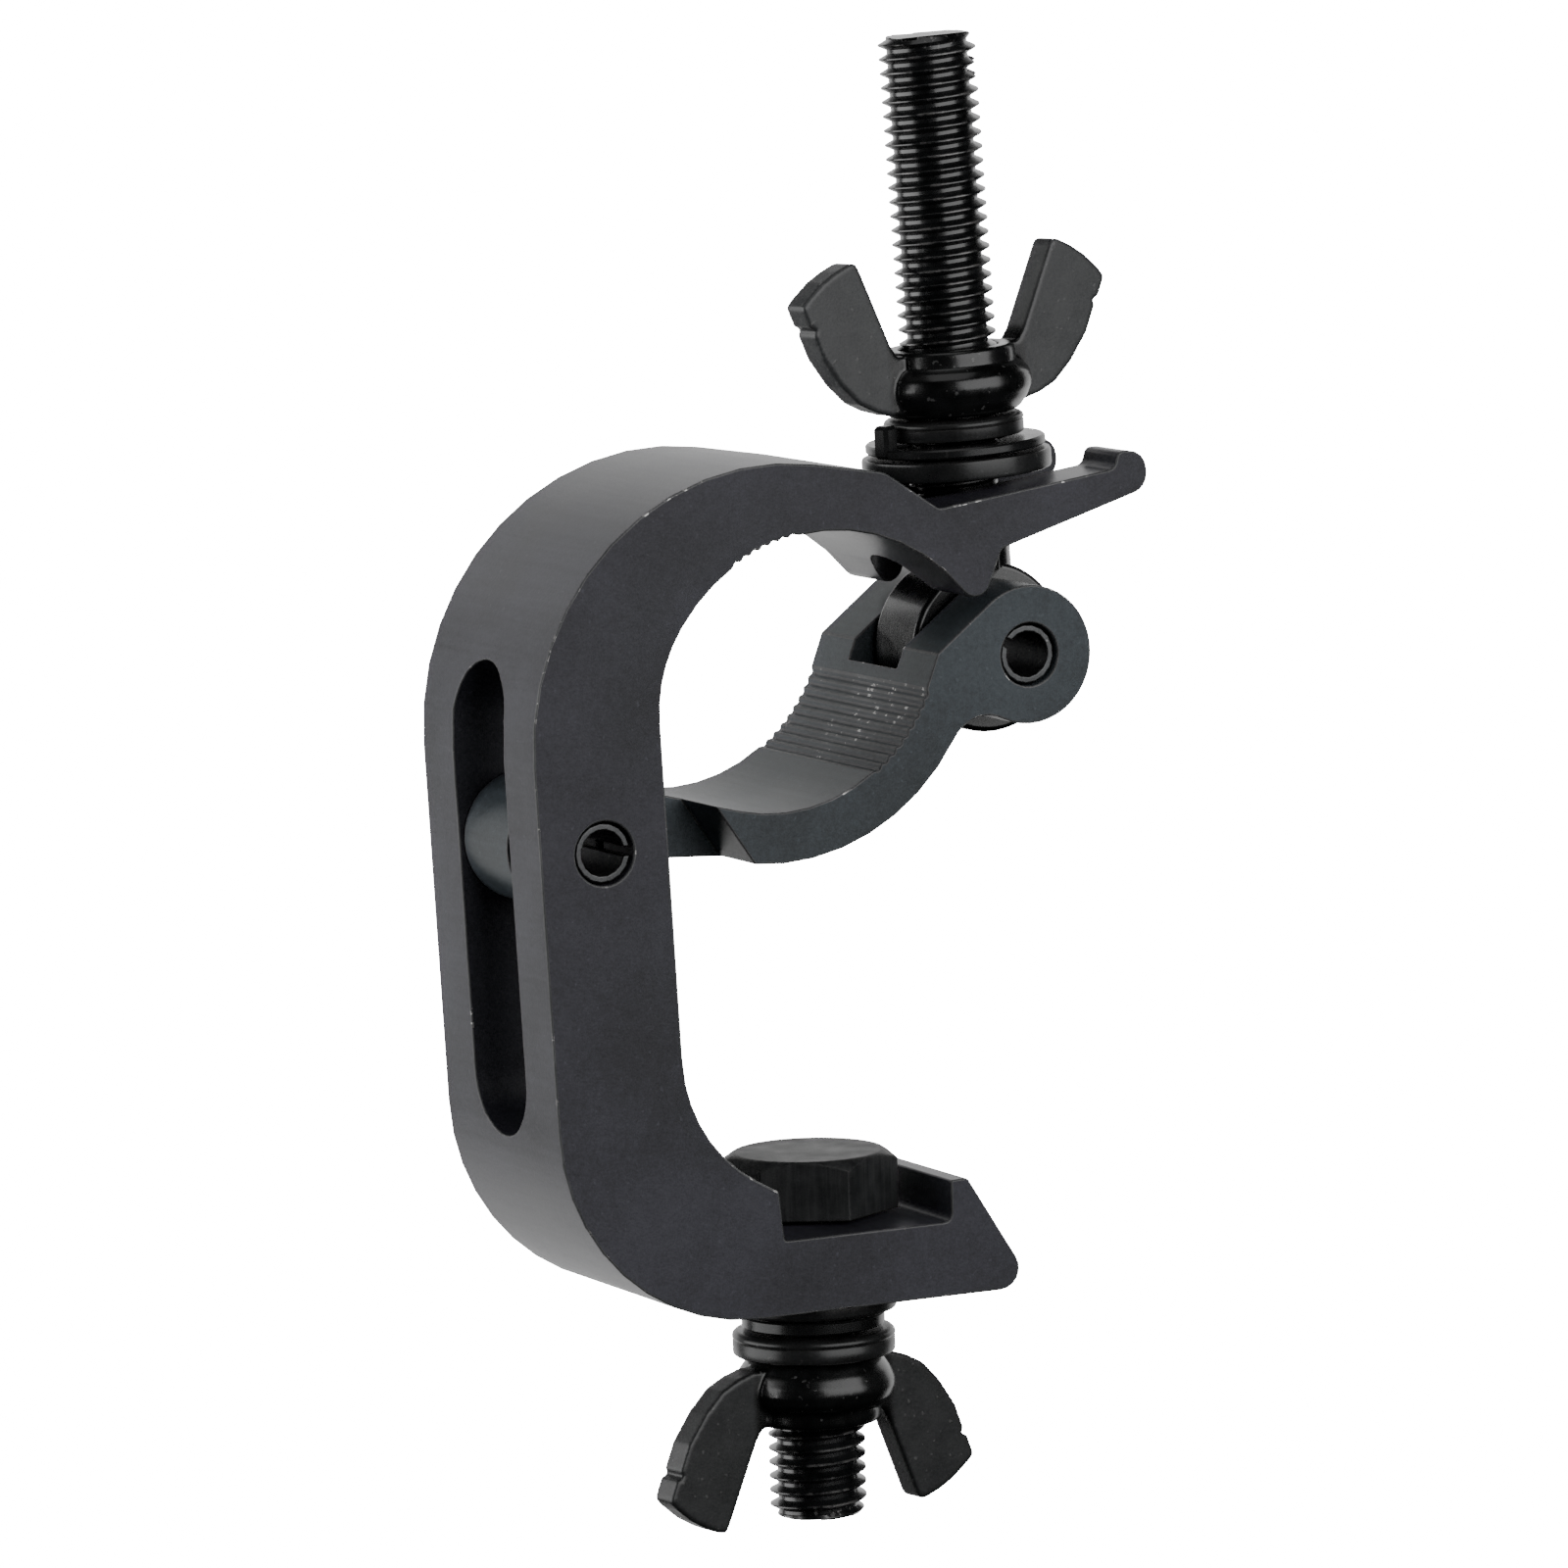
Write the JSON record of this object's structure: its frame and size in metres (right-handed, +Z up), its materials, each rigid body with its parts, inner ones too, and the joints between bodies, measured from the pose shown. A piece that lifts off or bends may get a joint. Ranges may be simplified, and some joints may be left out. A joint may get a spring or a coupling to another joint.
{
  "type": "pipe clamp",
  "caption": "Black hook clamp for a round truss tube: C-shaped body, hinged toothed jaw, swing bolt with wing nut over a slotted arm, and a bolt with wing nut below for a yoke.",
  "frame": {"origin": "centre of the tube that the upper jaw grips, halfway along the body's width", "axes": "+X from the spine to the tips of the arms, +Y along the gripped tube, +Z up through the upper jaw"},
  "size_m": [0.0886, 0.0325, 0.1819],
  "materials": {
    "body_coat": "matte black fine-grain coat over extruded aluminium",
    "jaw_coat": "matte black coat over extruded aluminium, edges lightly worn",
    "pin_steel": "dark rolled spring steel",
    "black_bolt": "glossy black oxide",
    "dark_washer": "satin black zinc",
    "spring_washer": "satin black spring steel",
    "wing_nut": "satin black forged steel"
  },
  "bodies": {
    "body": {"clamp_body": "body_coat", "jaw_pin": "pin_steel"},
    "jaw": {"lower_jaw": "jaw_coat", "bolt_pin": "pin_steel"},
    "bolt": {"swing_bolt": "black_bolt"},
    "upper_washers": {"upper_flat_washer": "dark_washer", "upper_spring_washer": "spring_washer", "upper_thick_washer": "dark_washer"},
    "upper_nut": {"upper_wing_nut": "wing_nut"},
    "yoke_bolt": {"lower_bolt": "black_bolt"},
    "lower_washers": {"lower_flat_washer": "dark_washer", "lower_spring_washer": "spring_washer", "lower_thick_washer": "dark_washer"},
    "lower_nut": {"lower_wing_nut": "wing_nut"}
  },
  "joints": [
    {"name": "jaw_hinge", "type": "hinge", "parent": "body", "child": "jaw", "pos_m": [-0.03083, 0, -0.0127], "axis": [0, 1, 0], "range_deg": [-1.5, 28]},
    {"name": "bolt_swing", "type": "hinge", "parent": "jaw", "child": "bolt", "pos_m": [0.02772, 0.00075, 0.0066], "axis": [0, 1, 0], "range_deg": [-30, 2]},
    {"name": "upper_nut_travel", "type": "slide", "parent": "bolt", "child": "upper_washers", "axis": [-0.0501, 0, 0.9987], "range_m": [-0.002, 0.031]},
    {"name": "upper_nut_spin", "type": "hinge", "parent": "upper_washers", "child": "upper_nut", "pos_m": [0.02622, 0.00075, 0.03662], "axis": [-0.0501, 0, 0.9987], "range_deg": [-330, 6220]},
    {"name": "lower_bolt_turn", "type": "hinge", "parent": "body", "child": "yoke_bolt", "pos_m": [0.003, 0, -0.0617], "axis": [0, 0, 1], "continuous": true},
    {"name": "lower_nut_travel", "type": "slide", "parent": "yoke_bolt", "child": "lower_washers", "axis": [0, 0, -1], "range_m": [0, 0.01]},
    {"name": "lower_nut_spin", "type": "hinge", "parent": "lower_washers", "child": "lower_nut", "pos_m": [0.003, 0, -0.0799], "axis": [0, 0, -1], "range_deg": [-10, 2075]}
  ],
  "couplings": [
    {"joint": "jaw_hinge", "follows": "upper_nut_spin", "ratio": 0.0045},
    {"joint": "bolt_swing", "follows": "upper_nut_spin", "ratio": -0.004725},
    {"joint": "upper_nut_travel", "follows": "upper_nut_spin", "m_per_rad": 0.00027852},
    {"joint": "lower_nut_spin", "follows": "lower_nut_travel", "rad_per_m": 3590.4}
  ]
}
